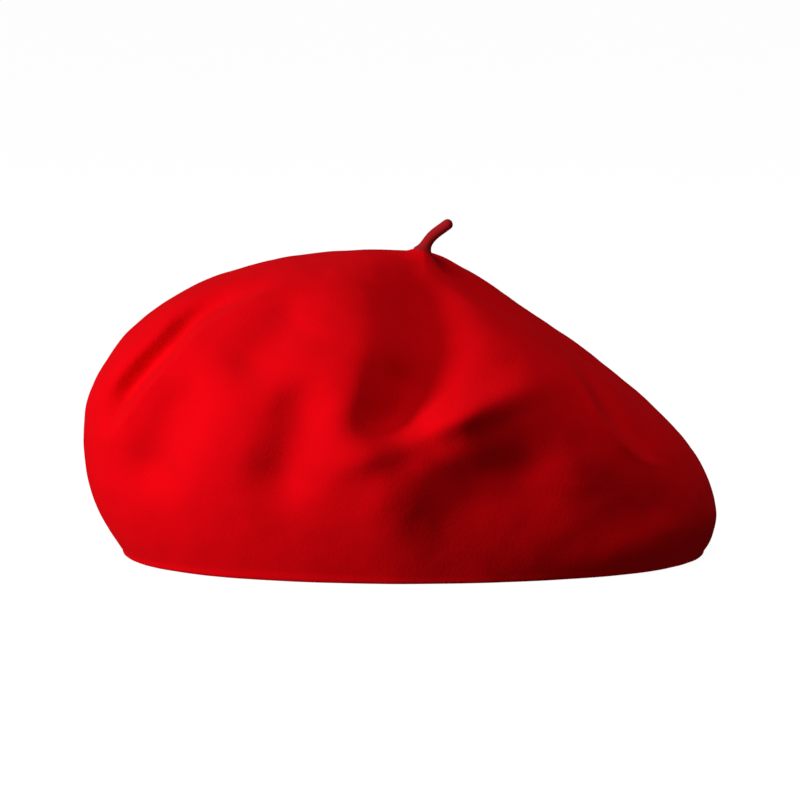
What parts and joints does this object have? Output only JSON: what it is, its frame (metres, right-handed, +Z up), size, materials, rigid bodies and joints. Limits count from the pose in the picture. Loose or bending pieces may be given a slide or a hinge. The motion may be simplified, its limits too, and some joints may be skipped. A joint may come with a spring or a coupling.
{
  "type": "beret",
  "caption": "Red felted wool beret with a short leaning stalk, slouched to one side, with satin lining, leather sweatband, small bow and blank label inside.",
  "frame": {"origin": "centre of the head opening, on the rim's flat lower face, which stands on the table", "axes": "+X along the long axis of the head opening, towards the side that the stalk leans to; +Y to the back, where the sweatband is joined; +Z up through the crown"},
  "size_m": [0.2214, 0.1943, 0.117],
  "materials": {
    "felt": "matte felted wool, faint nap",
    "stalk_felt": "matte felted wool, slightly duller than the shell",
    "satin": "satin weave, soft sheen",
    "band_leather": "fine grain, semi-matte",
    "ribbon": "satin ribbon",
    "thread": "twisted polyester sewing thread",
    "label_cloth": "woven, blank"
  },
  "bodies": {
    "beret_body": {"felt_shell": "felt", "lining_side": "satin", "lining_crown": "satin", "lining_seam": "thread", "sweatband": "band_leather", "band_stitch": "thread", "band_bow": "ribbon", "bow_knot": "ribbon", "label": "label_cloth", "label_stitch": "thread"},
    "crown_top": {"stalk_knot": "stalk_felt"},
    "stalk": {"stalk": "stalk_felt"}
  },
  "joints": [
    {"name": "crown_flatten", "type": "slide", "parent": "beret_body", "child": "crown_top", "axis": [0, 0, -1], "range_m": [0, 0.06336], "stiffness_N_per_m": 6, "deforming": ["felt_shell", "lining_side", "lining_crown", "lining_seam", "sweatband", "band_stitch", "band_bow", "bow_knot", "label", "label_stitch"]},
    {"name": "stalk_lean", "type": "hinge", "parent": "crown_top", "child": "stalk", "pos_m": [0.003, 0, 0.1056], "axis": [0, 1, 0], "range_deg": [-80, 30], "stiffness_Nm_per_rad": 0.0004}
  ]
}
